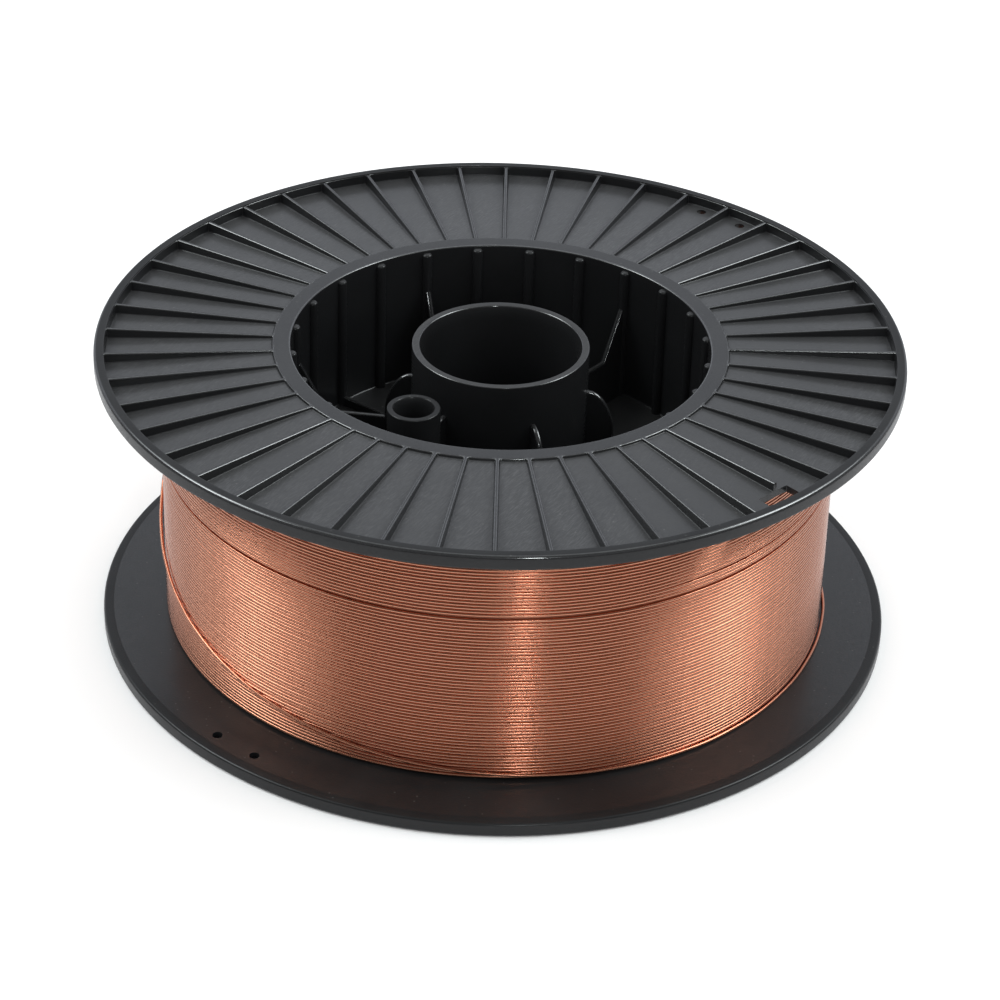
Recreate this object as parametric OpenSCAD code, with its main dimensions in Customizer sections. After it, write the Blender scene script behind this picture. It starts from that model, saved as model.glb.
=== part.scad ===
// Plastic spool of welding wire, standing on one flange.
// The spool is one black moulding: two ribbed flanges, a barrel, a hub tube and the web between them.
// The wire is one turned coil between the flanges, with a crest for each turn of its outer layer.
// Origin: centre of the lower rim's face. +Z runs along the bore, out of the upper side.

/* [Flanges] */
// Diameter of both flanges
flange_d = 270; // [262:1:290]
// Width of the spool over both rims
spool_w = 105; // [98:1:115]
// Height of the rim band
rim_h = 5; // [4.2:0.1:6.5]
// Wall of the rim band
rim_wall = 3.5; // [2.5:0.1:5]
// Depth of the flange panels below the rim's face, at the rim
panel_depth = 3.8; // [3:0.1:4]
// Depth of the flange's winding face below the rim's face, at the rim
flange_depth = 5.6; // [5.3:0.1:7]
// Fall of the winding face from the rim to the barrel
flange_taper = 2; // [0.5:0.1:3]
// Outer diameter of the smooth land round the opening
land_d = 152; // [149:0.5:160]
// Depth of the land below the rim's face
land_depth = 1.2; // [0.8:0.1:1.6]
// Depth of the panels below the rim's face, beside the land
panel_start_depth = 2.2; // [1.8:0.1:2.8]

/* [Flange ribs] */
// Number of ribs on each flange
rib_count = 48; // [24:1:60]
// Thickness of a flange rib
rib_w = 1.2; // [0.8:0.1:2]
// Depth of a rib's top below the rim's face, at the rim
rib_depth = 0.5; // [0.3:0.1:1]

/* [Barrel] */
// Inner diameter of the barrel
barrel_d = 140; // [134:0.5:143]
// Wall of the barrel
barrel_wall = 3; // [2:0.1:4]
// Number of round ribs down the inside of the barrel
barrel_rib_count = 24; // [12:1:30]
// Width of a barrel rib
barrel_rib_w = 3.6; // [2.4:0.1:5]
// How far a barrel rib stands in from the wall
barrel_rib_depth = 2; // [1:0.1:3]
// Depth of the barrel ribs' tops below the rim's face
barrel_rib_top = 2.4; // [2:0.1:5]

/* [Hub] */
// Bore for the machine's spindle
bore_d = 52; // [50:0.5:54]
// Wall of the hub tube
hub_wall = 3.7; // [2.5:0.1:5]
// Depth of the hub's ends below the rims' faces
hub_depth = 2; // [1:0.5:4]
// Bevel round the mouth of the bore
bore_bevel = 1; // [0.4:0.1:1.5]

/* [Web and fins] */
// Thickness of the web between hub and barrel
web_t = 3; // [2:0.5:5]
// Number of fins on each side of the web
fin_count = 6; // [3:1:8]
// Thickness of a fin
fin_w = 2; // [1.4:0.1:3]
// Height of a fin above the mid-plane, along its level stretch
fin_h = 19; // [12:0.5:24]
// Height of a fin's rounded gusset above the mid-plane, at the hub
fin_hub_h = 36; // [30:0.5:44]
// Height of a fin above the mid-plane, at the barrel
fin_barrel_h = 36; // [28:0.5:44]
// How far a fin's rounded gusset reaches from the hub
fin_hub_run = 9.5; // [6:0.5:14]
// Run of a fin's slope to the barrel
fin_barrel_run = 9; // [6:0.5:12]
// Height of the low ribs above the mid-plane
low_rib_h = 5; // [3:0.5:9]

/* [Driver socket] */
// Distance of the driver socket from the bore's axis
driver_r = 44.5; // [42:0.5:50]
// Hole for the machine's driver pin
driver_d = 12; // [10:0.5:13]
// Wall of the driver socket
driver_wall = 2.8; // [2:0.1:4]
// Depth of the driver socket's ends below the rims' faces
driver_depth = 7; // [4:0.5:14]

/* [Wire ends] */
// Diameter of the small holes that hold the wire's ends
end_hole_d = 3.4; // [2:0.1:4]
// Distance of the end holes' centres from the rim's outer face
end_hole_inset = 7.4; // [6.2:0.1:12]
// Width of the wire slot along the rim
slot_w = 13; // [8:0.5:16]
// Length of the wire slot inwards from the rim
slot_l = 9; // [6:0.5:12]

/* [Wire] */
// Diameter of the wire
wire_d = 1.2; // [1:0.1:1.6]
// Share of the room between barrel and rim that the wire fills
coil_fill = 0.692; // [0.3:0.002:0.9]
// Gap between the coil and the spool
coil_gap = 0.3; // [0.2:0.1:0.6]

/* [Hidden] */
$fn = 96;
black = "#17181a";
copper = "#b8734c";

mid_z = spool_w / 2;
flange_r = flange_d / 2;
rim_inner_r = flange_r - rim_wall;
land_r = land_d / 2;
barrel_r = barrel_d / 2;
barrel_outer_r = barrel_r + barrel_wall;
bore_r = bore_d / 2;
hub_r = bore_r + hub_wall;
coil_r = barrel_outer_r + coil_fill * (rim_inner_r - barrel_outer_r);
end_hole_r = flange_r - end_hole_inset;

// Every part of one side is drawn above the mid-plane, so these are heights above it
rim_top = mid_z;
land_top = mid_z - land_depth;
flange_foot = mid_z - flange_depth - flange_taper;

// Small overlaps that fuse the parts of the moulding into one solid
bite = 0.4;

// The first rib of each kind, seen from above, and the places of the features
barrel_rib_turn = 180 / barrel_rib_count;
fin_turn = -7.5;
low_rib_turn = 180 / fin_count;
driver_angle = fin_turn - 120;
slot_angle = -45.5;
upper_hole_angles = [48.75, 56.25];
lower_hole_angles = [-133.75, -126.25];
lower_rib_turn = -2.5;

// Rim edges and the mouth of the opening are softened by this much
edge_bevel = 0.5;

// Section of one side: rim, sloping panel, land, barrel wall, drawn down to the mid-plane
module shell_section() {
    polygon([
        [barrel_r, 0],
        [barrel_r, land_top - edge_bevel],
        [barrel_r + edge_bevel, land_top],
        [land_r, land_top],
        [land_r + edge_bevel, mid_z - panel_start_depth],
        [rim_inner_r - edge_bevel, mid_z - panel_depth],
        [rim_inner_r, mid_z - panel_depth + edge_bevel],
        [rim_inner_r, rim_top],
        [flange_r - edge_bevel, rim_top],
        [flange_r, rim_top - edge_bevel],
        [flange_r, mid_z - rim_h + edge_bevel],
        [flange_r - edge_bevel, mid_z - rim_h],
        [rim_inner_r, mid_z - flange_depth],
        [barrel_outer_r, flange_foot],
        [barrel_outer_r, 0]
    ]);
}

// Section of the hub tube above the mid-plane
module hub_section() {
    hub_top = mid_z - hub_depth;
    polygon([
        [bore_r, 0],
        [bore_r, hub_top - bore_bevel],
        [bore_r + bore_bevel, hub_top],
        [hub_r - edge_bevel, hub_top],
        [hub_r, hub_top - edge_bevel],
        [hub_r, 0]
    ]);
}

// Flat star of arms that reach from one radius to another
module star(count, turn, width, inner_r, outer_r) {
    for (i = [0 : count - 1])
        rotate(turn + i * 360 / count)
            translate([inner_r, -width / 2])
                square([outer_r - inner_r, width]);
}

// Thin ribs on the flange: the star of ribs, cut to the slope that their tops follow
module flange_ribs(turn) {
    inner_r = land_r - bite;
    outer_r = rim_inner_r + bite;
    foot = mid_z - panel_depth - bite;
    intersection() {
        translate([0, 0, foot])
            linear_extrude(rim_top - foot)
                star(rib_count, turn, rib_w, inner_r, outer_r);
        rotate_extrude()
            polygon([
                [inner_r - 1, foot - 1],
                [inner_r - 1, land_top - 0.1],
                [outer_r + 1, mid_z - rib_depth],
                [outer_r + 1, foot - 1]
            ]);
    }
}

// Round ribs down the inside of the barrel, each a half round on a straight stem
module barrel_ribs() {
    round_r = barrel_rib_w / 2;
    top = mid_z - barrel_rib_top;
    linear_extrude(top)
        for (i = [0 : barrel_rib_count - 1])
            rotate(barrel_rib_turn + i * 360 / barrel_rib_count)
                translate([barrel_r - barrel_rib_depth + round_r, 0]) {
                    circle(round_r, $fn = 32);
                    translate([0, -round_r])
                        square([barrel_rib_depth - round_r + barrel_wall / 2, barrel_rib_w]);
                }
}

// One tall fin from hub to barrel: a rounded gusset at the hub, a level stretch, a climb to the barrel
module fin() {
    inner_r = hub_r - hub_wall / 2;
    outer_r = barrel_r + barrel_wall / 2;
    gusset = [
        for (t = [0 : 15 : 90])
            [hub_r + fin_hub_run * sin(t), fin_h + (fin_hub_h - fin_h) * cos(t)]
    ];
    rotate([90, 0, 0])
        translate([0, 0, -fin_w / 2])
            linear_extrude(fin_w)
                polygon(concat(
                    [[inner_r, 0], [inner_r, fin_hub_h]],
                    gusset,
                    [
                        [barrel_r - barrel_rib_depth - fin_barrel_run, fin_h],
                        [barrel_r - barrel_rib_depth, fin_barrel_h],
                        [outer_r, fin_barrel_h],
                        [outer_r, 0]
                    ]
                ));
}

// Everything on one side of the mid-plane, before the holes are cut
module side(rib_turn) {
    rotate_extrude()
        shell_section();
    rotate_extrude()
        hub_section();
    linear_extrude(web_t / 2)
        difference() {
            circle(barrel_r + bite);
            circle(hub_r - bite);
        }
    flange_ribs(rib_turn);
    barrel_ribs();
    for (i = [0 : fin_count - 1])
        rotate(fin_turn + i * 360 / fin_count)
            fin();
    linear_extrude(low_rib_h)
        star(fin_count, fin_turn + low_rib_turn, fin_w, hub_r - bite, barrel_r + bite);
    rotate(driver_angle)
        translate([driver_r, 0])
            cylinder(h = mid_z - driver_depth, r = driver_d / 2 + driver_wall);
}

// Through holes for the wire's ends, in one flange
module end_holes(angles) {
    for (a = angles)
        rotate(a)
            translate([end_hole_r, 0, mid_z - flange_depth - flange_taper])
                cylinder(h = flange_depth + flange_taper + 1, d = end_hole_d, $fn = 32);
}

// The spool, with its lower side the mirror image of the upper one
module spool() {
    color(black)
        translate([0, 0, mid_z])
            difference() {
                union() {
                    side(0);
                    mirror([0, 0, 1])
                        side(lower_rib_turn);
                }
                rotate(driver_angle)
                    translate([driver_r, 0, -mid_z])
                        cylinder(h = spool_w, d = driver_d);
                end_holes(upper_hole_angles);
                mirror([0, 0, 1])
                    end_holes(lower_hole_angles);
                // The slot where the wire passes the upper flange, with its end of the rib cut back
                rotate(slot_angle)
                    translate([rim_inner_r - slot_l, -slot_w / 2, mid_z - flange_depth - flange_taper])
                        cube([slot_l, slot_w, flange_depth + flange_taper + 1]);
            }
}

// The wound wire: one rounded crest for each outer turn, and on the ends, which follow the flanges,
// one ring for each layer
module wire() {
    inner_r = barrel_outer_r + coil_gap;
    groove = wire_d * 0.25;
    slope = flange_taper / (rim_inner_r - barrel_outer_r);
    inner_top = flange_foot - coil_gap;
    outer_top = inner_top + slope * (coil_r - barrel_outer_r);
    layers = floor((coil_r - inner_r) / wire_d);
    ring_w = (coil_r - inner_r) / layers;
    top_rings = [
        for (i = [0 : layers - 1], p = [[0, groove / 2], [0.5, 0]])
            [inner_r + (i + p[0]) * ring_w, inner_top + slope * (i + p[0]) * ring_w - p[1]]
    ];
    bottom_rings = [for (p = top_rings) [p[0], -p[1]]];
    turns = floor(2 * outer_top / wire_d);
    first_z = -turns * wire_d / 2;
    crests = [
        for (i = [0 : turns - 1], p = [[0, groove], [0.25, 0], [0.75, 0]])
            [coil_r - p[1], first_z + (i + p[0]) * wire_d]
    ];
    color(copper)
        translate([0, 0, mid_z])
            rotate_extrude()
                polygon(concat(
                    bottom_rings,
                    crests,
                    [[coil_r - groove, -first_z]],
                    [for (i = [len(top_rings) - 1 : -1 : 0]) top_rings[i]]
                ));
}

spool();
wire();
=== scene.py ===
# %% [markdown]
# # A spool of coppered welding wire
#
# The object is a black plastic spool with ribbed flanges, wound with copper-coated steel wire.
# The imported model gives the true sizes. This notebook gives the looks: moulded edges,
# the wire's turns one by one, and the finish of the plastic and of the copper.

# %% Load the frame
import math

import bmesh
import bpy
from mathutils import Matrix, Vector


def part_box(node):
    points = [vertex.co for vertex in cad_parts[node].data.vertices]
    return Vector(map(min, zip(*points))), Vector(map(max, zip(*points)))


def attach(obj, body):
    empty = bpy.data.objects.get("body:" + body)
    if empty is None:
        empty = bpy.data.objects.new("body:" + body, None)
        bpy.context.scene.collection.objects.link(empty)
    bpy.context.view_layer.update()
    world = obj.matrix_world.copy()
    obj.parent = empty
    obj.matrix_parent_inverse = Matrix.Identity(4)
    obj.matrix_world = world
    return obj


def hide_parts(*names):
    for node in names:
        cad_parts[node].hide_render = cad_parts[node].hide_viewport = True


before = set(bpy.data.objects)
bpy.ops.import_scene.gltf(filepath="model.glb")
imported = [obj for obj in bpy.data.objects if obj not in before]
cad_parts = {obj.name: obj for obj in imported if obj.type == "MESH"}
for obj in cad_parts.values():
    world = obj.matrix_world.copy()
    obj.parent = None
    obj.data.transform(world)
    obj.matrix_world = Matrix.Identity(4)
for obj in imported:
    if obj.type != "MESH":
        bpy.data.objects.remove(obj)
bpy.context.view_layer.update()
MM = 0.001
print("nodes:", sorted(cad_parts))

# %% [markdown]
# ## Sizes
#
# Everything here is in millimetres, and is measured from the mid-plane of the spool, because
# the two sides mirror each other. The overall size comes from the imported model's boxes.

# %% Sizes of the spool
spool_low, spool_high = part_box("spool")
wire_low, wire_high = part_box("wire")
FLANGE_R = (spool_high.x - spool_low.x) / 2 / MM
MID_Z = (spool_high.z - spool_low.z) / 2 / MM
COIL_R = (wire_high.x - wire_low.x) / 2 / MM

RIM_INNER_R = FLANGE_R - 3.5
RIM_H = 5.0
LAND_R = 76.0
LAND_Z = MID_Z - 1.2
OPENING_R = 70.0
BARREL_OUTER_R = 73.0
FLANGE_FACE_RIM_Z = MID_Z - 5.6
FLANGE_FACE_BARREL_Z = MID_Z - 7.6
BORE_R = 26.0
HUB_R = 29.7
HUB_Z = MID_Z - 2.0
WEB_Z = 1.5
SEGMENTS = 288
print(f"flange radius {FLANGE_R:.1f}, half width {MID_Z:.1f}, coil radius {COIL_R:.1f}")

# %% [markdown]
# ## Small tools for modelling by hand
#
# An operator acts on all that is selected, so each step first deselects everything and then
# picks the vertices, edges or faces it needs by their place.


# %% Modelling tools
def deselect():
    """Leave edit mode and select nothing."""
    if bpy.context.object and bpy.context.object.mode != "OBJECT":
        bpy.ops.object.mode_set(mode="OBJECT")
    bpy.ops.object.select_all(action="DESELECT")


def activate(piece):
    """Make a piece the only selected one."""
    deselect()
    piece.select_set(True)
    bpy.context.view_layer.objects.active = piece


def edit(piece):
    """Open a piece in edit mode."""
    activate(piece)
    bpy.ops.object.mode_set(mode="EDIT")


def pick(kind, test):
    """Select the vertices, edges or faces that pass a test, and say how many there are."""
    bpy.ops.mesh.select_mode(type=kind)
    bpy.ops.mesh.select_all(action="DESELECT")
    mesh = bmesh.from_edit_mesh(bpy.context.object.data)
    parts = {"VERT": mesh.verts, "EDGE": mesh.edges, "FACE": mesh.faces}[kind]
    count = 0
    for part in parts:
        if test(part):
            part.select_set(True)
            count += 1
    mesh.select_flush_mode()
    bmesh.update_edit_mesh(bpy.context.object.data)
    return count


def radius(point):
    """Distance of a point from the bore's axis, in millimetres."""
    return math.hypot(point.x, point.y) / MM


def near(value, target, slack=0.02):
    """Whether two lengths in millimetres are the same."""
    return abs(value - target) < slack


def on_ring(vertex, r, z):
    """Whether a vertex lies on the ring of that radius and height."""
    return near(radius(vertex.co), r) and near(vertex.co.z / MM, z)


def ring_edge(r, z):
    """A test for the edges of one ring."""
    return lambda edge: all(on_ring(vertex, r, z) for vertex in edge.verts)


def finish_place(piece):
    """Put a piece's place into its mesh, so that its object sits at the origin."""
    activate(piece)
    bpy.ops.object.transform_apply(location=True, rotation=True, scale=True)


def apply_modifier(piece, kind, **settings):
    """Add a modifier, set it up and apply it."""
    activate(piece)
    modifier = piece.modifiers.new(kind.title(), kind)
    for key, value in settings.items():
        setattr(modifier, key, value)
    bpy.ops.object.modifier_apply(modifier=modifier.name)


def pull_rings(name, section, segments=SEGMENTS):
    """Turn a section: a ring is added at its first corner and pulled from corner to corner."""
    r, z = section[0]
    deselect()
    bpy.ops.mesh.primitive_circle_add(vertices=segments, radius=r * MM, location=(0, 0, z * MM))
    piece = bpy.context.object
    piece.name = name
    finish_place(piece)
    edit(piece)
    bpy.ops.mesh.select_all(action="SELECT")
    for (r0, z0), (r1, z1) in zip(section, section[1:]):
        bpy.ops.mesh.extrude_region_move(TRANSFORM_OT_translate={"value": (0, 0, (z1 - z0) * MM)})
        bpy.ops.transform.resize(value=(r1 / r0, r1 / r0, 1), center_override=(0, 0, 0))
    return piece


def close_rings():
    """Bridge the two open rings of a turned piece."""
    pick("EDGE", lambda edge: edge.is_boundary)
    bpy.ops.mesh.bridge_edge_loops()


def outward():
    """Point every face outwards."""
    bpy.ops.mesh.select_all(action="SELECT")
    bpy.ops.mesh.normals_make_consistent(inside=False)


def around(piece, count, first_angle):
    """Copy a piece round the bore, each copy with its own mesh, and join the copies."""
    copies = [piece]
    for i in range(1, count):
        activate(piece)
        bpy.ops.object.duplicate()
        copies.append(bpy.context.object)
    for i, copy in enumerate(copies):
        copy.rotation_euler.z = math.radians(first_angle + i * 360 / count)
    return join(copies)


def join(pieces):
    """Join pieces into the first one."""
    deselect()
    for piece in pieces:
        piece.select_set(True)
    bpy.context.view_layer.objects.active = pieces[0]
    if len(pieces) > 1:
        bpy.ops.object.join()
    finish_place(pieces[0])
    return pieces[0]


def combine(piece, other, operation):
    """Fuse another solid into a piece, or cut it out, and delete that other solid."""
    apply_modifier(piece, "BOOLEAN", operation=operation, solver="MANIFOLD", object=other)
    bpy.data.objects.remove(other)


# %% [markdown]
# ## One side of the moulding
#
# A moulded spool is a turned shape with ribs on it, so the work starts like a pot on a wheel:
# a ring of points is pulled up the bore, over the hub, across the web, up the barrel, over
# the flange and back down the outside of the barrel.

# %% Turn one side
BAND_INNER_R = LAND_R - 0.6
BAND_OUTER_R = RIM_INNER_R + 0.05
BAND_OUTER_Z = MID_Z - 0.45
side_section = [
    (BORE_R, 0),
    (BORE_R, HUB_Z - 4.5),
    (BORE_R + 1.2, HUB_Z),
    (HUB_R, HUB_Z),
    (HUB_R, WEB_Z),
    (OPENING_R, WEB_Z),
    (OPENING_R, LAND_Z),
    (BAND_INNER_R, LAND_Z),
    (BAND_OUTER_R, BAND_OUTER_Z),
    (BAND_OUTER_R, MID_Z),
    (FLANGE_R, MID_Z),
    (FLANGE_R, MID_Z - RIM_H),
    (RIM_INNER_R, FLANGE_FACE_RIM_Z),
    (BARREL_OUTER_R, FLANGE_FACE_BARREL_Z),
    (BARREL_OUTER_R, 0),
]
side = pull_rings("spool_body", side_section)
print("side turned:", len(bmesh.from_edit_mesh(side.data).faces), "faces")

# %% [markdown]
# ## The ribbed flange
#
# The ribs are what is left standing between sunk panels. So the band between the land and
# the rim is merged into one face for each panel, every face is inset by half a rib, and the
# inner faces are pushed down with a little draft, as a mould needs. That keeps the ribs the
# same width from end to end, and no rib is a loose bar laid on the flange.

# %% Sink the panels
PANEL_CORNERS = 8
RIB_COUNT = 48
RIB_W = 1.2
RIB_STEP = 360 / RIB_COUNT
DRAFT = 0.15
PANEL_DROP = 1.0
PANEL_OUTER_DROP = 2.35


def between_ribs(edge):
    """Whether an edge runs across the band, away from the middle of any rib."""
    a, b = edge.verts
    radii = sorted((radius(a.co), radius(b.co)))
    if not (near(radii[0], BAND_INNER_R) and near(radii[1], BAND_OUTER_R)):
        return False
    turn = math.degrees(math.atan2(a.co.y, a.co.x)) / RIB_STEP
    return abs(turn - round(turn)) > 0.01


def is_panel(face):
    """Whether a face is a merged panel, which has far more corners than any other face."""
    return len(face.verts) > PANEL_CORNERS


pick("EDGE", between_ribs)
bpy.ops.mesh.dissolve_edges(use_verts=False)
panels = pick("FACE", is_panel)
bpy.ops.mesh.inset(thickness=RIB_W / 2 * MM, use_individual=True)
inset_r = BAND_OUTER_R - RIB_W / 2
pick("VERT", lambda v: near(radius(v.co), inset_r, 0.2) and v.co.z > BAND_OUTER_Z * MM - MM)
to_rim = (BAND_OUTER_R - 0.05) / inset_r
bpy.ops.transform.resize(value=(to_rim, to_rim, 1), center_override=(0, 0, 0))
pick("FACE", is_panel)
bpy.ops.mesh.inset(thickness=DRAFT * MM, depth=-PANEL_DROP * MM, use_individual=True)
pick("FACE", is_panel)
floor_corners = {v.index for v in bmesh.from_edit_mesh(side.data).verts if v.select}
pick("VERT", lambda v: v.index in floor_corners and radius(v.co) > 100)
bpy.ops.transform.translate(value=(0, 0, -PANEL_OUTER_DROP * MM))
print("panels sunk:", panels)

# %% [markdown]
# A moulding has no knife edges. The rims, the mouths and all the panels' edges are bevelled,
# and those thin rounds are what catches the light along every rib in the photo.

# %% Round the moulded edges
ROUND_RIB = 0.4
ROUND_RIM = 1.3


def panel_edge(edge):
    """Whether an edge belongs to a sunk panel's walls and turns a corner."""
    inner = LAND_R - 0.2
    outer = BAND_OUTER_R - 0.02
    inside = all(inner < radius(v.co) < outer and v.co.z > (MID_Z - 4.5) * MM for v in edge.verts)
    return inside and len(edge.link_faces) == 2 and edge.calc_face_angle() > math.radians(50)


def band_z(r):
    """Height of the ribs' crests at a radius."""
    return LAND_Z + (BAND_OUTER_Z - LAND_Z) * (r - BAND_INNER_R) / (BAND_OUTER_R - BAND_INNER_R)


def proud_round(face):
    """Whether a face belongs to a rounded edge that hands and handling polish."""
    place = face.calc_center_median()
    on_floor = radius(place) > LAND_R and place.z / MM < band_z(radius(place)) - 0.5
    return place.z / MM > MID_Z - 4 and 0.3 < abs(face.normal.z) < 0.97 and not on_floor


finishes = [bpy.data.materials.new(name) for name in ("black_moulded_plastic", "polished_edges")]
for finish in finishes:
    side.data.materials.append(finish)
rounded = pick("EDGE", panel_edge)
bpy.ops.mesh.bevel(offset=ROUND_RIB * MM, segments=3, affect="EDGES")
for r, z, size, segments in [
    (FLANGE_R, MID_Z, ROUND_RIM, 5),
    (FLANGE_R, MID_Z - RIM_H, 0.8, 4),
    (BAND_OUTER_R, MID_Z, 0.3, 2),
    (OPENING_R, LAND_Z, 0.6, 3),
    (HUB_R, HUB_Z, 0.5, 3),
    (BORE_R + 1.2, HUB_Z, 0.5, 3),
    (HUB_R, WEB_Z, 1.0, 3),
    (OPENING_R, WEB_Z, 1.0, 3),
]:
    pick("EDGE", ring_edge(r, z))
    bpy.ops.mesh.bevel(offset=size * MM, segments=segments, affect="EDGES")
proud = pick("FACE", proud_round)
side.active_material_index = 1
bpy.ops.object.material_slot_assign()
bpy.ops.object.mode_set(mode="OBJECT")
print("panel edges rounded:", rounded, "- polished faces:", proud)

# %% [markdown]
# The lower side is a mirror image. On the real spool its ribs stand a third of a panel
# further round, which the small holes in the photo give away.

# %% Mirror the other side
LOWER_TURN = -2.5
activate(side)
bpy.ops.object.duplicate()
lower = bpy.context.object
lower.scale.z = -1
lower.rotation_euler.z = math.radians(LOWER_TURN)
finish_place(lower)
spool = join([side, lower])
edit(spool)
bpy.ops.mesh.select_all(action="SELECT")
bpy.ops.mesh.remove_doubles(threshold=0.01 * MM)
outward()
bpy.ops.object.mode_set(mode="OBJECT")
print("both sides:", len(spool.data.polygons), "faces")

# %% [markdown]
# ## Inside the barrel
#
# Fins tie the hub to the barrel. Each one is a rounded gusset at the hub, a level stretch and
# a climb to the barrel. A long box is cut across at those places with bisect, and each row of
# corners is then stretched to its height, above and below the web at once.

# %% Fins and low ribs
FIN_COUNT = 6
FIN_TURN = -7.5
FIN_W = 1.9
FIN_LEVEL = 19.0
GUSSET_TOP = 36.0
GUSSET_REACH = 9.5
GUSSET_STEPS = 8
CLIMB_FROM = 59.0
CLIMB_TO = 68.0
FIN_BARREL_TOP = 36.0
LOW_RIB_TOP = 5.0
CREST_ROUND = 0.75
INSIDE_HUB = 28.5
INSIDE_BARREL = 71.5
gusset = []
for i in range(GUSSET_STEPS + 1):
    t = math.radians(90 * i / GUSSET_STEPS)
    x = HUB_R + GUSSET_REACH * math.sin(t)
    gusset.append((x, FIN_LEVEL + (GUSSET_TOP - FIN_LEVEL) * math.cos(t)))
fin_stations = gusset + [(CLIMB_FROM, FIN_LEVEL), (CLIMB_TO, FIN_BARREL_TOP)]


def bar(name, half_height, width):
    """A box from hub to barrel, level with the web."""
    deselect()
    bpy.ops.mesh.primitive_cube_add(size=1, location=((INSIDE_HUB + INSIDE_BARREL) / 2 * MM, 0, 0))
    piece = bpy.context.object
    piece.name = name
    piece.scale = ((INSIDE_BARREL - INSIDE_HUB) * MM, width * MM, 2 * half_height * MM)
    finish_place(piece)
    for finish in finishes:
        piece.data.materials.append(finish)
    return piece


def crest(edge):
    """Whether an edge lies between a bar's top or bottom and one of its sides."""
    normals = [face.normal for face in edge.link_faces]
    return any(abs(n.y) < 0.1 for n in normals) and any(abs(n.y) > 0.9 for n in normals)


def round_crests():
    """Round a bar's long edges, and give the rounds the polished finish of slot 1."""
    pick("EDGE", crest)
    bpy.ops.mesh.bevel(offset=CREST_ROUND * MM, segments=3, affect="EDGES", material=1)


fins = bar("fins", FIN_LEVEL, FIN_W)
edit(fins)
for x, height in fin_stations:
    bpy.ops.mesh.select_all(action="SELECT")
    bpy.ops.mesh.bisect(plane_co=(x * MM, 0, 0), plane_no=(1, 0, 0))
for x, height in [(INSIDE_HUB, GUSSET_TOP)] + fin_stations + [(INSIDE_BARREL, FIN_BARREL_TOP)]:
    pick("VERT", lambda v: near(v.co.x / MM, x))
    bpy.ops.transform.resize(value=(1, 1, height / FIN_LEVEL), center_override=(0, 0, 0))
round_crests()
fins = around(fins, FIN_COUNT, FIN_TURN)

low_ribs = bar("low_ribs", LOW_RIB_TOP, FIN_W)
edit(low_ribs)
round_crests()
low_ribs = around(low_ribs, FIN_COUNT, FIN_TURN + 180 / FIN_COUNT)
print("fins:", FIN_COUNT, "and as many low ribs")

# %% [markdown]
# Round ribs run down the inside of the barrel, and the driver socket is a small tube on the
# line of one fin.

# %% Barrel ribs and driver socket
BARREL_RIB_COUNT = 24
BARREL_RIB_R = 1.8
BARREL_RIB_PLACE = 69.8
BARREL_RIB_TOP = MID_Z - 2.4
SOCKET_R = 44.9
SOCKET_ANGLE = math.radians(-128.1)
SOCKET_HOLE_R = 6.0
SOCKET_OUTER_R = 8.8
SOCKET_Z = MID_Z - 7.0
socket_x = SOCKET_R * math.cos(SOCKET_ANGLE)
socket_y = SOCKET_R * math.sin(SOCKET_ANGLE)


def rod(name, r, half_height, x, y, vertices, rounding):
    """An upright round bar through the web, at x and y, with rounded ends."""
    deselect()
    bpy.ops.mesh.primitive_cylinder_add(
        vertices=vertices, radius=r * MM, depth=2 * half_height * MM, location=(x * MM, y * MM, 0)
    )
    piece = bpy.context.object
    piece.name = name
    finish_place(piece)
    if rounding:
        edit(piece)
        pick("EDGE", lambda e: near(abs(e.verts[0].co.z + e.verts[1].co.z) / MM, 2 * half_height))
        bpy.ops.mesh.bevel(offset=rounding * MM, segments=3, affect="EDGES")
        bpy.ops.object.mode_set(mode="OBJECT")
    return piece


barrel_ribs = rod("barrel_ribs", BARREL_RIB_R, BARREL_RIB_TOP, BARREL_RIB_PLACE, 0, 16, 0.9)
barrel_ribs = around(barrel_ribs, BARREL_RIB_COUNT, 180 / BARREL_RIB_COUNT)
socket = rod("socket", SOCKET_OUTER_R, SOCKET_Z, socket_x, socket_y, 64, 0.5)

for part in (fins, low_ribs, barrel_ribs, socket):
    combine(spool, part, "UNION")
print("spool with its inside:", len(spool.data.polygons), "faces")

# %% [markdown]
# ## Holes
#
# The driver hole goes right through. Two small holes in each flange hold the wire's ends,
# and a slot beside the rim lets the wire out. All of them are cut by one joined cutter. The
# driver hole's cutter widens near its ends, step by step, which leaves a soft funnel mouth.

# %% Cut the holes
END_HOLE_R = 1.7
END_HOLE_PLACE = FLANGE_R - 7.4
END_HOLE_ANGLES = {1: (48.75, 56.25), -1: (-133.75, -126.25)}
CUT_DEPTH = 12.0
SLOT_W = 13.0
SLOT_L = 9.0
SLOT_ANGLE = -45.5
FLANGE_MIDDLE = MID_Z - 4.0
MOUTH_STEPS = ((2.4, 6.6), (0.4, 7.0), (3.0, 7.0))
MOUTH_DEPTH = 2.8

driver_cut = rod("driver_cut", SOCKET_HOLE_R, SOCKET_Z - MOUTH_DEPTH, socket_x, socket_y, 64, 0)
edit(driver_cut)
for sign in (1, -1):
    pick("FACE", lambda f: f.normal.z * sign > 0.9)
    r = SOCKET_HOLE_R
    for rise, wider in MOUTH_STEPS:
        bpy.ops.mesh.extrude_region_move(TRANSFORM_OT_translate={"value": (0, 0, sign * rise * MM)})
        bpy.ops.transform.resize(
            value=(wider / r, wider / r, 1), center_override=(socket_x * MM, socket_y * MM, 0)
        )
        r = wider
bpy.ops.object.mode_set(mode="OBJECT")

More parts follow.
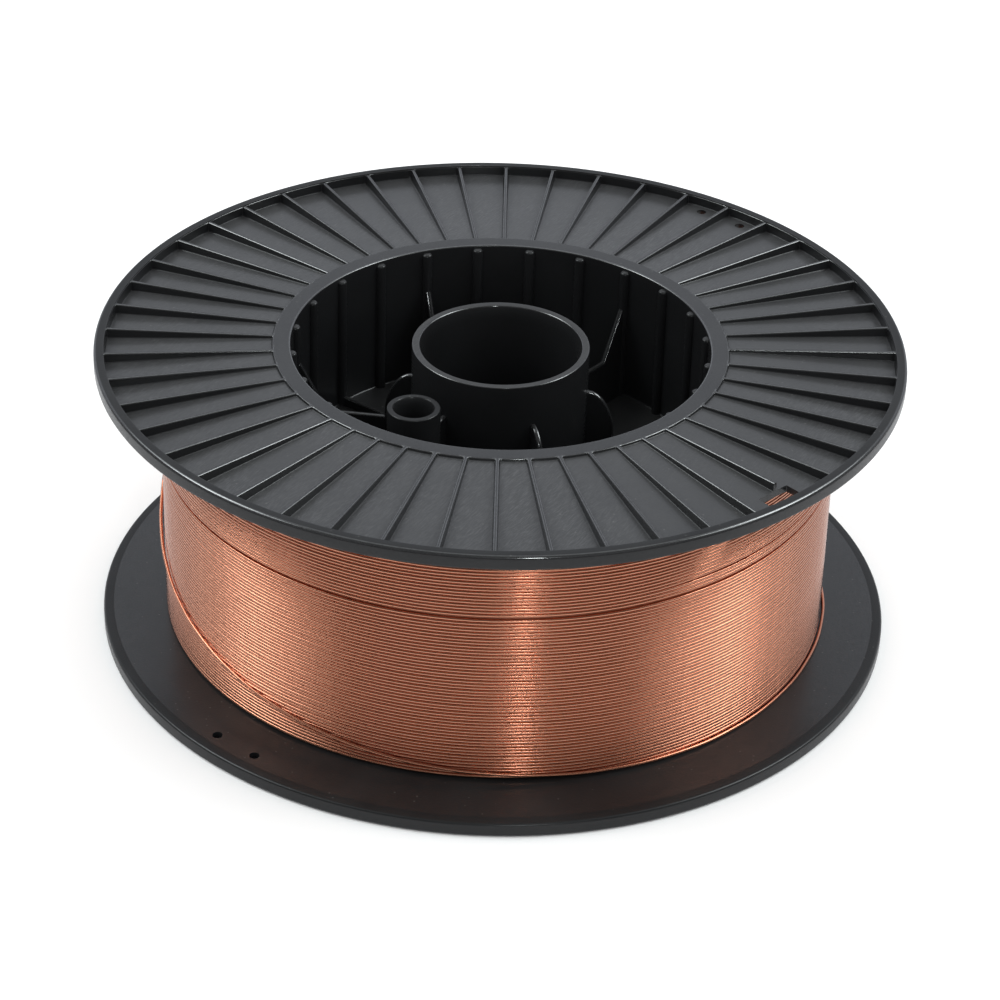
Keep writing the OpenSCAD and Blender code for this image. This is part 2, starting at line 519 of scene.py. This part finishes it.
cutters = [driver_cut]
for side_sign, angles in END_HOLE_ANGLES.items():
    for angle in angles:
        a = math.radians(angle)
        x, y = END_HOLE_PLACE * math.cos(a), END_HOLE_PLACE * math.sin(a)
        cut = rod("end_hole", END_HOLE_R, CUT_DEPTH / 2, x, y, 24, 0)
        cut.location.z = side_sign * FLANGE_MIDDLE * MM
        cutters.append(cut)
deselect()
slot_x = RIM_INNER_R - SLOT_L / 2
bpy.ops.mesh.primitive_cube_add(size=1, location=(slot_x * MM, 0, FLANGE_MIDDLE * MM))
slot = bpy.context.object
slot.scale = (SLOT_L * MM, SLOT_W * MM, CUT_DEPTH * MM)
finish_place(slot)
edit(slot)
pick("EDGE", lambda e: near(abs(e.verts[0].co.z - e.verts[1].co.z) / MM, CUT_DEPTH))
bpy.ops.mesh.bevel(offset=0.5 * MM, segments=2, affect="EDGES")
bpy.ops.object.mode_set(mode="OBJECT")
slot.rotation_euler.z = math.radians(SLOT_ANGLE)
cutters.append(slot)
combine(spool, join(cutters), "DIFFERENCE")

spool.location.z = MID_Z * MM
finish_place(spool)
bpy.ops.object.shade_smooth_by_angle(angle=math.radians(38))
apply_modifier(spool, "WEIGHTED_NORMAL", keep_sharp=True)
print("finished spool:", len(spool.data.polygons), "faces")

# %% [markdown]
# ## The wire
#
# The outer layer is one wire, so it is one helix: a small circle swept by a Screw modifier,
# one turn after the other. Under it lies a plain turned core, which only blocks the view; its
# copper is darker, painted shade for what shows between the turns.

# %% Wind the outer layer
WIRE_R = 0.6
PITCH = 1.215
TURNS = 75
WIND_STEPS = 120
PROFILE_CORNERS = 8
LAYER_R = COIL_R - WIRE_R
FIRST_Z = 7.0

deselect()
bpy.ops.mesh.primitive_circle_add(
    vertices=PROFILE_CORNERS, radius=WIRE_R * MM, location=(0, LAYER_R * MM, FIRST_Z * MM),
    rotation=(0, math.pi / 2, 0),
)
turns = bpy.context.object
turns.name = "wire_turns"
finish_place(turns)
apply_modifier(
    turns, "SCREW", angle=math.tau, screw_offset=PITCH * MM, iterations=TURNS,
    steps=WIND_STEPS, render_steps=WIND_STEPS,
)
edit(turns)
pick("EDGE", lambda e: e.is_boundary)
bpy.ops.mesh.edge_face_add()
outward()
bpy.ops.object.mode_set(mode="OBJECT")
print("turns wound:", TURNS, "with", len(turns.data.polygons), "faces")

# %% [markdown]
# A wound layer is never perfect. The photo shows a wide gap two thirds of the way up, a
# second one on the right, and turns that lie a hair in or out. The Screw modifier numbers its
# vertices along the wire, so each one knows its turn, and smooth waves move it. The gaps open
# at the back, where the wire climbs from one turn to the next.

# %% Loosen the turns
GAP_TURN = 50
GAP = 0.8
UPPER_PITCH = 1.185
SECOND_GAP_TURN = 53
SECOND_GAP = 0.55
SECOND_GAP_FADE = 18


def smooth_step(value, low, high):
    """A soft rise from 0 to 1 between two values."""
    t = min(max((value - low) / (high - low), 0), 1)
    return t * t * (3 - 2 * t)


def loosen(point, turn):
    """Move one point of the wire to where the real turn lies."""
    angle = math.degrees(math.atan2(point.y, point.x))
    lift = GAP * smooth_step(turn, GAP_TURN, GAP_TURN + 0.12)
    lift -= (PITCH - UPPER_PITCH) * max(turn - GAP_TURN, 0)
    window = smooth_step(angle, -68, -50) * (1 - smooth_step(angle, 20, 60))
    over = smooth_step(turn, SECOND_GAP_TURN, SECOND_GAP_TURN + 0.1)
    over *= 1 - smooth_step(turn, SECOND_GAP_TURN, SECOND_GAP_TURN + SECOND_GAP_FADE)
    lift += SECOND_GAP * window * over
    around_turn = math.radians(turn * 360)
    lift += 0.012 * math.sin(around_turn * 1.37) + 0.01 * math.sin(around_turn * 2.71)
    out = 0.02 * math.sin(around_turn * 1.61) + 0.015 * math.sin(around_turn * 3.43) - 0.035
    r = radius(point)
    return Vector((point.x * (r + out) / r, point.y * (r + out) / r, point.z + lift * MM))


def turn_tone(turn):
    """Tone of the wire at a place along it, from 0 to 1: neighbouring turns differ."""
    t = turn * math.tau
    waves = math.sin(0.37 * t) + math.sin(0.613 * t + 1.1) + 0.7 * math.sin(1.291 * t + 2.3)
    return 0.5 + 0.5 * waves / 2.7


tones = turns.data.attributes.new("tone", "FLOAT", "POINT")
for vertex in turns.data.vertices:
    turn = vertex.index // PROFILE_CORNERS / WIND_STEPS
    vertex.co = loosen(vertex.co, turn)
    tones.data[vertex.index].value = turn_tone(turn)
activate(turns)
bpy.ops.object.shade_smooth()

# %% Turn the core
CORE_INNER_R = BARREL_OUTER_R + 0.3
CORE_OUTER_R = LAYER_R - 0.45
CORE_INNER_END = 8.0
CORE_OUTER_END = 6.8
core_section = [
    (CORE_INNER_R, CORE_INNER_END),
    (CORE_INNER_R, 2 * MID_Z - CORE_INNER_END),
    (CORE_OUTER_R, 2 * MID_Z - CORE_OUTER_END),
    (CORE_OUTER_R, CORE_OUTER_END),
]
core = pull_rings("wire_core", core_section, 144)
close_rings()
outward()
bpy.ops.object.mode_set(mode="OBJECT")
activate(core)
bpy.ops.object.shade_smooth_by_angle(angle=math.radians(30))
print("core faces:", len(core.data.polygons))

# %% [markdown]
# The last length of the wire is loose. It leaves a small hole in the upper flange, comes down
# round the back and across the other turns, and lies on the lower flange at the right, where
# it becomes the first turn. Its route is a list of places: the angle round the bore, the
# radius and the height. A smooth curve through them becomes a round wire.

# %% Lay the loose end
LOOSE_ROUTE = [
    (90, LAYER_R, FIRST_Z), (76, 113.1, 7.1), (62, 113.5, 7.3), (46, 113.9, 7.4), (30, 114.2, 7.3),
    (14, 114.5, 7.1), (2, 114.6, 7.0), (-8, 114.4, 6.9), (-20, 114.1, 6.9), (-33, 114.0, 6.9),
    (-46, 114.1, 7.0), (-58, 114.1, 7.3), (-70, 114.1, 7.9), (-80, 114.15, 8.6), (-90, 114.15, 9.6),
    (-99, 114.15, 10.8), (-108, 114.15, 12.3), (-118, 114.15, 14.4), (-128, 114.15, 17.1),
    (-138, 114.15, 20.2), (-148, 114.15, 23.6), (-157, 114.2, 27.0), (-165, 114.3, 30.6),
    (-172, 114.5, 35.0), (-180, 114.5, 41.5), (-188, 114.2, 50.0), (-202, 114.1, 62.5),
    (-218, 114.1, 72.5), (-234, 114.1, 80.0), (-250, 114.2, 87.0), (-265, 114.7, 92.2),
    (-278, 116.6, 95.0), (-288, 119.6, 95.9), (-296, 123.4, 96.6), (-301.2, 126.4, 97.8),
    (-303.5, 127.5, 98.9), (-303.75, 127.6, 99.8),
]


def round_wire(name, route):
    """A round wire through places given by angle, radius and height."""
    curve = bpy.data.curves.new(name, "CURVE")
    curve.dimensions = "3D"
    curve.bevel_depth = WIRE_R * MM
    curve.bevel_resolution = 1
    curve.resolution_u = 6
    curve.use_fill_caps = True
    spline = curve.splines.new("BEZIER")
    spline.bezier_points.add(len(route) - 1)
    for point, (angle, r, z) in zip(spline.bezier_points, route):
        a = math.radians(angle)
        point.co = (r * math.cos(a) * MM, r * math.sin(a) * MM, z * MM)
        point.handle_left_type = point.handle_right_type = "AUTO"
    piece = bpy.data.objects.new(name, curve)
    bpy.context.collection.objects.link(piece)
    activate(piece)
    bpy.ops.object.convert(target="MESH")
    piece = bpy.context.object
    edit(piece)
    bpy.ops.mesh.select_all(action="SELECT")
    bpy.ops.mesh.remove_doubles(threshold=0.001 * MM)
    outward()
    bpy.ops.object.mode_set(mode="OBJECT")
    bpy.ops.object.shade_smooth()
    return piece


loose_end = round_wire("wire_loose_end", LOOSE_ROUTE)
print("loose end faces:", len(loose_end.data.polygons))

# %% [markdown]
# ## Shared surface effects
#
# Real plastic is never one flat value. A fine moulded grain, faint rubbing marks over a
# painted sheen on the sunk panels, and a film of dust on what faces up are made once as node
# groups, and each material takes what it needs from them.


# %% Node group tools
def new_group(name, inputs, outputs):
    """An empty node group with named inputs and outputs."""
    group = bpy.data.node_groups.new(name, "ShaderNodeTree")
    for socket, value in inputs.items():
        item = group.interface.new_socket(socket, in_out="INPUT", socket_type="NodeSocketFloat")
        item.default_value = value
    for socket in outputs:
        group.interface.new_socket(socket, in_out="OUTPUT", socket_type="NodeSocketFloat")
    return group, group.nodes.new("NodeGroupInput"), group.nodes.new("NodeGroupOutput")


def node(tree, kind, inputs=None, **settings):
    """Add a node, with its settings and the values of its inputs."""
    made = tree.nodes.new("ShaderNode" + kind)
    for key, value in settings.items():
        setattr(made, key, value)
    for key, value in (inputs or {}).items():
        if isinstance(value, bpy.types.NodeSocket):
            tree.links.new(value, made.inputs[key])
        else:
            made.inputs[key].default_value = value
    return made


def maths(tree, operation, a, b=0.0):
    """A Math node on two values or sockets."""
    made = node(tree, "Math", {0: a, 1: b}, operation=operation)
    return made.outputs[0]


def spread(tree, value, low, high, out_low=0.0, out_high=1.0):
    """Map a range of a value onto another range, clamped."""
    made = node(tree, "MapRange", {"Value": value, "From Min": low, "From Max": high,
                                   "To Min": out_low, "To Max": out_high})
    return made.outputs[0]


def blend_colours(tree, factor, a, b):
    """Mix two colours by a factor."""
    made = node(tree, "Mix", {"Factor": factor}, data_type="RGBA")
    for socket, colour in ((made.inputs[6], a), (made.inputs[7], b)):
        if isinstance(colour, bpy.types.NodeSocket):
            tree.links.new(colour, socket)
        else:
            socket.default_value = (*colour, 1)
    return made.outputs[2]


# %% Grain
def make_grain():
    """A fine, even moulded grain. Size is in grains a metre."""
    group, inputs, outputs = new_group("moulded_grain", {"Size": 900.0}, ["Height", "Blotches"])
    place = node(group, "TexCoord").outputs["Object"]
    size = inputs.outputs["Size"]
    fine = node(group, "TexNoise", {"Vector": place, "Scale": size, "Detail": 3.0})
    broad = node(group, "TexNoise", {"Vector": place, "Scale": 28.0, "Detail": 2.0})
    group.links.new(fine.outputs["Fac"], outputs.inputs["Height"])
    group.links.new(spread(group, broad.outputs["Fac"], 0.35, 0.65), outputs.inputs["Blotches"])
    return group


grain_group = make_grain()


# %% Rubbing marks and painted sheen
STREAKS = ((62, 0.0045, 0.00030), (50, 0.0030, 0.00026))


def make_rubs_and_sheen():
    """Rubbing streaks on a painted sheen lighten the sunk panels; also a mask of the dull flat
    rims.
    """
    group, inputs, outputs = new_group("rubbing_marks_and_painted_sheen", {"Amount": 0.5}, ["Marks", "Rims"])
    place = node(group, "TexCoord").outputs["Object"]
    marks = []
    for turn, length, width in STREAKS:
        settings = {
            "Vector": place, "Rotation": (0, 0, math.radians(turn)), "Scale": (length, width, 0.01)
        }
        turned = node(group, "Mapping", settings, vector_type="TEXTURE")
        streak = node(group, "TexNoise", {"Vector": turned.outputs[0], "Scale": 1.0, "Detail": 2.0})
        marks.append(spread(group, streak.outputs["Fac"], 0.52, 0.70))
    both = maths(group, "MAXIMUM", marks[0], marks[1])
    patches = node(group, "TexNoise", {"Vector": place, "Scale": 16.0, "Detail": 2.0})
    where = spread(group, patches.outputs["Fac"], 0.34, 0.62)
    normal = node(group, "NewGeometry").outputs["Normal"]
    flat = maths(group, "ABSOLUTE", node(group, "SeparateXYZ", {"Vector": normal}).outputs["Z"])
    height = node(group, "SeparateXYZ", {"Vector": place}).outputs["Z"]
    from_middle = maths(group, "ABSOLUTE", maths(group, "SUBTRACT", height, MID_Z * MM))
    ribbed_side = maths(group, "GREATER_THAN", from_middle, (MID_Z - 4.4) * MM)
    sunk = maths(group, "LESS_THAN", from_middle, (MID_Z - 1.7) * MM)
    facing = maths(group, "MULTIPLY", ribbed_side, spread(group, flat, 0.9, 0.98))
    level = maths(group, "MULTIPLY", sunk, facing)
    # The 0.4 floor is painted sheen over the whole of each sunk panel; the rubbing streaks rise
    # above it.
    streaks_on_sheen = spread(group, maths(group, "MULTIPLY", both, where), 0, 1, 0.4, 1.0)
    sheen_and_streaks = maths(group, "MULTIPLY", streaks_on_sheen, level)
    shown = maths(group, "MULTIPLY", sheen_and_streaks, inputs.outputs["Amount"])
    group.links.new(shown, outputs.inputs["Marks"])
    sideways = node(group, "VectorMath", {0: place, 1: (1.0, 1.0, 0.0)}, operation="MULTIPLY")
    length = node(group, "VectorMath", {0: sideways.outputs[0]}, operation="LENGTH")
    from_axis = length.outputs["Value"]
    outside = maths(group, "GREATER_THAN", from_axis, RIM_INNER_R * MM)
    inside = maths(group, "LESS_THAN", from_axis, OPENING_R * MM)
    either = maths(group, "MAXIMUM", outside, inside)
    rims = maths(group, "MULTIPLY", either, spread(group, flat, 0.8, 0.98))
    group.links.new(rims, outputs.inputs["Rims"])
    return group


rubs_and_sheen_group = make_rubs_and_sheen()


# %% Dust
def make_dust():
    """A film on what faces up, with a few specks. Amount scales both."""
    group, inputs, outputs = new_group("dust_film", {"Amount": 0.3}, ["Dust"])
    place = node(group, "TexCoord").outputs["Object"]
    normal = node(group, "NewGeometry").outputs["Normal"]
    up = node(group, "SeparateXYZ", {"Vector": normal}).outputs["Z"]
    facing = spread(group, up, 0.5, 1.0)
    film = node(group, "TexNoise", {"Vector": place, "Scale": 60.0, "Detail": 4.0}).outputs["Fac"]
    speck = node(group, "TexVoronoi", {"Vector": place, "Scale": 260.0}).outputs["Distance"]
    specks = spread(group, speck, 0.05, 0.1, 1.0, 0.0)
    thin_film = maths(group, "MULTIPLY", film, 0.6)
    cover = maths(group, "ADD", thin_film, maths(group, "MULTIPLY", specks, 2.0))
    settled = maths(group, "MULTIPLY", cover, facing)
    dust = maths(group, "MULTIPLY", settled, inputs.outputs["Amount"])
    group.links.new(dust, outputs.inputs["Dust"])
    return group


dust_group = make_dust()
print("node groups:", [group.name for group in bpy.data.node_groups])

# %% [markdown]
# ## Black plastic
#
# The plastic is nearly black, and looks grey in the photo only where its satin skin mirrors
# the white surroundings. So the base colour stays dark, and a coat with its own gloss makes
# the mirror image; only the sunk panels get a lighter base, a painted sheen with rubbing
# streaks on it. The coat is thinner in the grain's hollows and on the flat rims. Edges that
# hands rub are shinier, so their faces have a second material with a stronger coat.


# %% Black plastic
def new_material(name):
    """A material with a Principled BSDF, ready to wire up. One that exists is taken up again."""
    material = bpy.data.materials.get(name) or bpy.data.materials.new(name)
    material.use_nodes = True
    return material, material.node_tree, material.node_tree.nodes["Principled BSDF"]


def use_group(tree, group, **values):
    """Place a node group in a material, with its values."""
    made = tree.nodes.new("ShaderNodeGroup")
    made.node_tree = group
    for key, value in values.items():
        made.inputs[key].default_value = value
    return made


def make_plastic(name, gloss_ior, gloss_roughness, grain_strength):
    """Black moulded plastic under its own glossy skin."""
    material, tree, shader = new_material(name)
    grain = use_group(tree, grain_group, Size=1300.0)
    rubs_and_sheen = use_group(tree, rubs_and_sheen_group, Amount=0.7)
    dust = use_group(tree, dust_group, Amount=0.045)
    blotches = grain.outputs["Blotches"]
    skin = blend_colours(tree, blotches, (0.0072, 0.0075, 0.0081), (0.0096, 0.0100, 0.0108))
    # The sunk panels are lightened toward pale grey: painted sheen, with faint rubbing streaks on
    # it.
    marked_and_sheened = blend_colours(tree, rubs_and_sheen.outputs["Marks"], skin, (0.075, 0.076, 0.079))
    dusty = blend_colours(tree, dust.outputs["Dust"], marked_and_sheened, (0.42, 0.41, 0.39))
    tree.links.new(dusty, shader.inputs["Base Color"])
    roughness = maths(tree, "ADD", spread(tree, blotches, 0, 1, 0.42, 0.50), dust.outputs["Dust"])
    tree.links.new(roughness, shader.inputs["Roughness"])
    shader.inputs["IOR"].default_value = 1.27
    bump = node(tree, "Bump", {"Height": grain.outputs["Height"], "Strength": grain_strength,
                               "Distance": 0.00008})
    tree.links.new(bump.outputs[0], shader.inputs["Normal"])
    grained = spread(tree, grain.outputs["Height"], 0.35, 0.65, 0.70, 1.0)
    worn = maths(tree, "SUBTRACT", 1.0, maths(tree, "MULTIPLY", rubs_and_sheen.outputs["Marks"], 0.1))
    dulled = maths(tree, "SUBTRACT", worn, maths(tree, "MULTIPLY", rubs_and_sheen.outputs["Rims"], 0.80))
    tree.links.new(maths(tree, "MULTIPLY", grained, dulled), shader.inputs["Coat Weight"])
    shader.inputs["Coat IOR"].default_value = gloss_ior
    shader.inputs["Coat Roughness"].default_value = gloss_roughness
    return material


plastic = make_plastic("black_moulded_plastic", 1.42, 0.23, 0.6)
polished = make_plastic("polished_edges", 2.2, 0.12, 0.1)
print("polished faces:", sum(face.material_index for face in spool.data.polygons))

# %% [markdown]
# ## Coppered wire
#
# The wire is steel with a thin skin of copper, drawn through a die, so it is bright and
# slightly brushed. Neighbouring turns differ a little in tone. A noise could give that, but it
# would cut across the turns, so the tone is the attribute that was stored along the wire.


# %% Coppered wire
def make_copper(name, pale, deep, low_roughness, high_roughness):
    """Drawn copper whose tone changes from turn to turn."""
    material, tree, shader = new_material(name)
    place = node(tree, "TexCoord").outputs["Object"]
    tone = node(tree, "Attribute", attribute_name="tone").outputs["Fac"]
    broad = node(tree, "TexNoise", {"Vector": place, "Scale": 30.0, "Detail": 3.0}).outputs["Fac"]
    tarnish = spread(tree, broad, 0.5, 0.75, 0.0, 0.25)
    colour = blend_colours(tree, tone, deep, pale)
    tarnished = blend_colours(tree, tarnish, colour, [0.72 * c for c in deep])
    tree.links.new(tarnished, shader.inputs["Base Color"])
    roughness = spread(tree, tone, 0, 1, high_roughness, low_roughness)
    tree.links.new(roughness, shader.inputs["Roughness"])
    shader.inputs["Metallic"].default_value = 1.0
    shader.inputs["Coat Weight"].default_value = 0.9
    shader.inputs["Coat Roughness"].default_value = 0.18
    scratch = node(tree, "Mapping", {"Vector": place, "Scale": (40.0, 40.0, 2500.0)}).outputs[0]
    drawn = node(tree, "TexNoise", {"Vector": scratch, "Scale": 1.0, "Detail": 2.0}).outputs["Fac"]
    bump = node(tree, "Bump", {"Height": drawn, "Strength": 0.03, "Distance": 0.00002})
    tree.links.new(bump.outputs[0], shader.inputs["Normal"])
    return material


copper = make_copper("coppered_wire", (0.80, 0.340, 0.200), (0.73, 0.285, 0.160), 0.18, 0.22)
# The core wears a darker copy of the copper: painted shade for the deep gaps between the turns.
shaded_copper = make_copper("shaded_copper", (0.62, 0.27, 0.16), (0.50, 0.20, 0.115), 0.4, 0.5)
for piece, material in ((turns, copper), (loose_end, copper), (core, shaded_copper)):
    piece.data.materials.clear()
    piece.data.materials.append(material)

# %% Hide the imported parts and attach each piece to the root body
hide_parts("spool")
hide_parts("wire")
for piece, slot_name in (
    (spool, "black_plastic"),
    (turns, "coppered_wire"),
    (core, "coppered_wire"),
    (loose_end, "coppered_wire"),
):
    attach(piece, "root")
    print(piece.name, len(piece.data.polygons), "faces")

# %% [markdown]
# ## Floor and background
#
# The photo was taken on white. The floor is a pale disc that keeps the spool's shadow and
# fades out into a world that the camera sees as white. What mirrors the floor or the world
# sees a dimmer room with a bright far side, as the real spool did.


# %% Floor
FLOOR_R = 1.6
FADE_FROM = 0.25
FADE_TO = 0.75
deselect()
bpy.ops.mesh.primitive_circle_add(
    vertices=96, radius=FLOOR_R, fill_type="NGON", location=(0, 0, 0)
)
floor = bpy.context.object
floor.name = "floor"
pale, tree, shader = new_material("pale_floor")
mirrored = node(tree, "LightPath").outputs["Is Glossy Ray"]
floor_colour = blend_colours(tree, mirrored, (0.93, 0.93, 0.93), (0.58, 0.58, 0.59))
tree.links.new(floor_colour, shader.inputs["Base Color"])
shader.inputs["Roughness"].default_value = 0.9
shader.inputs["Specular IOR Level"].default_value = 0.1
place = node(tree, "TexCoord").outputs["Object"]
distance = node(tree, "VectorMath", {0: place}, operation="LENGTH").outputs["Value"]
fade = spread(tree, distance, FADE_FROM, FADE_TO)
clear = node(tree, "BsdfTransparent").outputs[0]
mixed = node(tree, "MixShader", {0: fade, 1: shader.outputs[0], 2: clear}).outputs[0]
tree.links.new(mixed, tree.nodes["Material Output"].inputs["Surface"])
floor.data.materials.append(pale)

# %% World
world = bpy.data.worlds.new("studio")
bpy.context.scene.world = world
world.use_nodes = True
tree = world.node_tree
direction = node(tree, "TexCoord").outputs["Generated"]
toward_back = node(tree, "VectorMath", {0: direction, 1: (0, 0.86, 0.51)}, operation="DOT_PRODUCT")
behind = spread(tree, toward_back.outputs["Value"], 0.35, 0.85)
room = blend_colours(tree, behind, (0.11, 0.111, 0.115), (0.58, 0.61, 0.67))
seen = node(tree, "LightPath").outputs
direct = maths(tree, "SUBTRACT", 1.0, seen["Is Glossy Ray"])
background = tree.nodes["Background"]
tree.links.new(blend_colours(tree, direct, room, (1.0, 1.0, 1.0)), background.inputs["Color"])
background.inputs["Strength"].default_value = 1.0

# %% [markdown]
# ## Lights
#
# The copper shows what lit it: a broad soft box on each side, whose middle is brighter than
# its edges, and a narrow strip near the camera. One lamp makes an even patch, so each box is
# a broad lamp with a small bright one before it. A soft light overhead fills the flanges.


# %% Lights
LAMP_COLOUR = (0.93, 0.99, 1.0)


def soft_light(name, azimuth, elevation, reach, width, height, power):
    """An area light that looks at the spool from a direction given in degrees."""
    deselect()
    a, e = math.radians(azimuth), math.radians(elevation)
    target = Vector((0, 0, MID_Z * MM))
    way = Vector((math.cos(e) * math.cos(a), math.cos(e) * math.sin(a), math.sin(e)))
    bpy.ops.object.light_add(type="AREA", location=target + way * reach)
    lamp = bpy.context.object
    lamp.name = name
    lamp.rotation_euler = way.to_track_quat("Z", "Y").to_euler()
    lamp.data.shape = "RECTANGLE"
    lamp.data.size = width
    lamp.data.size_y = height
    lamp.data.energy = power
    lamp.data.color = LAMP_COLOUR
    return lamp


soft_light("left_box", 174, 44, 1.4, 1.15, 0.6, 4.2)
soft_light("left_core", 176, 43, 1.35, 0.4, 0.5, 2.6)
soft_light("right_box", 4, 44, 1.4, 1.2, 0.6, 4.7)
soft_light("right_core", 3, 43, 1.35, 0.4, 0.5, 3.0)
soft_light("front_strip", -79.8, 28, 1.7, 0.12, 0.35, 1.9)
soft_light("overhead", 90, 80, 1.6, 1.6, 1.6, 4)

# %% [markdown]
# ## Camera
#
# The camera stands in front and looks down at 31.5 degrees through a long lens. Its place was
# worked out from how the two round flanges look in the photo.

# %% Camera
CAMERA_PLACE = (0.0, -0.97333, 0.63940)
YAW, PITCH_DOWN, ROLL = 0.001333, 0.550492, -0.030865
IMAGE_SIDE = 1000
FOCAL_PIXELS = 3330.46

forward = Vector((
    math.sin(YAW) * math.cos(PITCH_DOWN),
    math.cos(YAW) * math.cos(PITCH_DOWN),
    -math.sin(PITCH_DOWN),
))
level = Vector((math.cos(YAW), -math.sin(YAW), 0))
down = forward.cross(level)
across = math.cos(ROLL) * level + math.sin(ROLL) * down
down = math.cos(ROLL) * down - math.sin(ROLL) * level
deselect()
bpy.ops.object.camera_add(location=CAMERA_PLACE)
camera = bpy.context.object
camera.rotation_euler = Matrix((across, -down, -forward)).transposed().to_euler()
camera.data.sensor_width = 36
camera.data.lens = FOCAL_PIXELS * camera.data.sensor_width / IMAGE_SIDE
camera.data.clip_start = 0.01
bpy.context.scene.camera = camera

# %% Finish
bpy.context.scene.view_settings.view_transform = "Standard"
deselect()
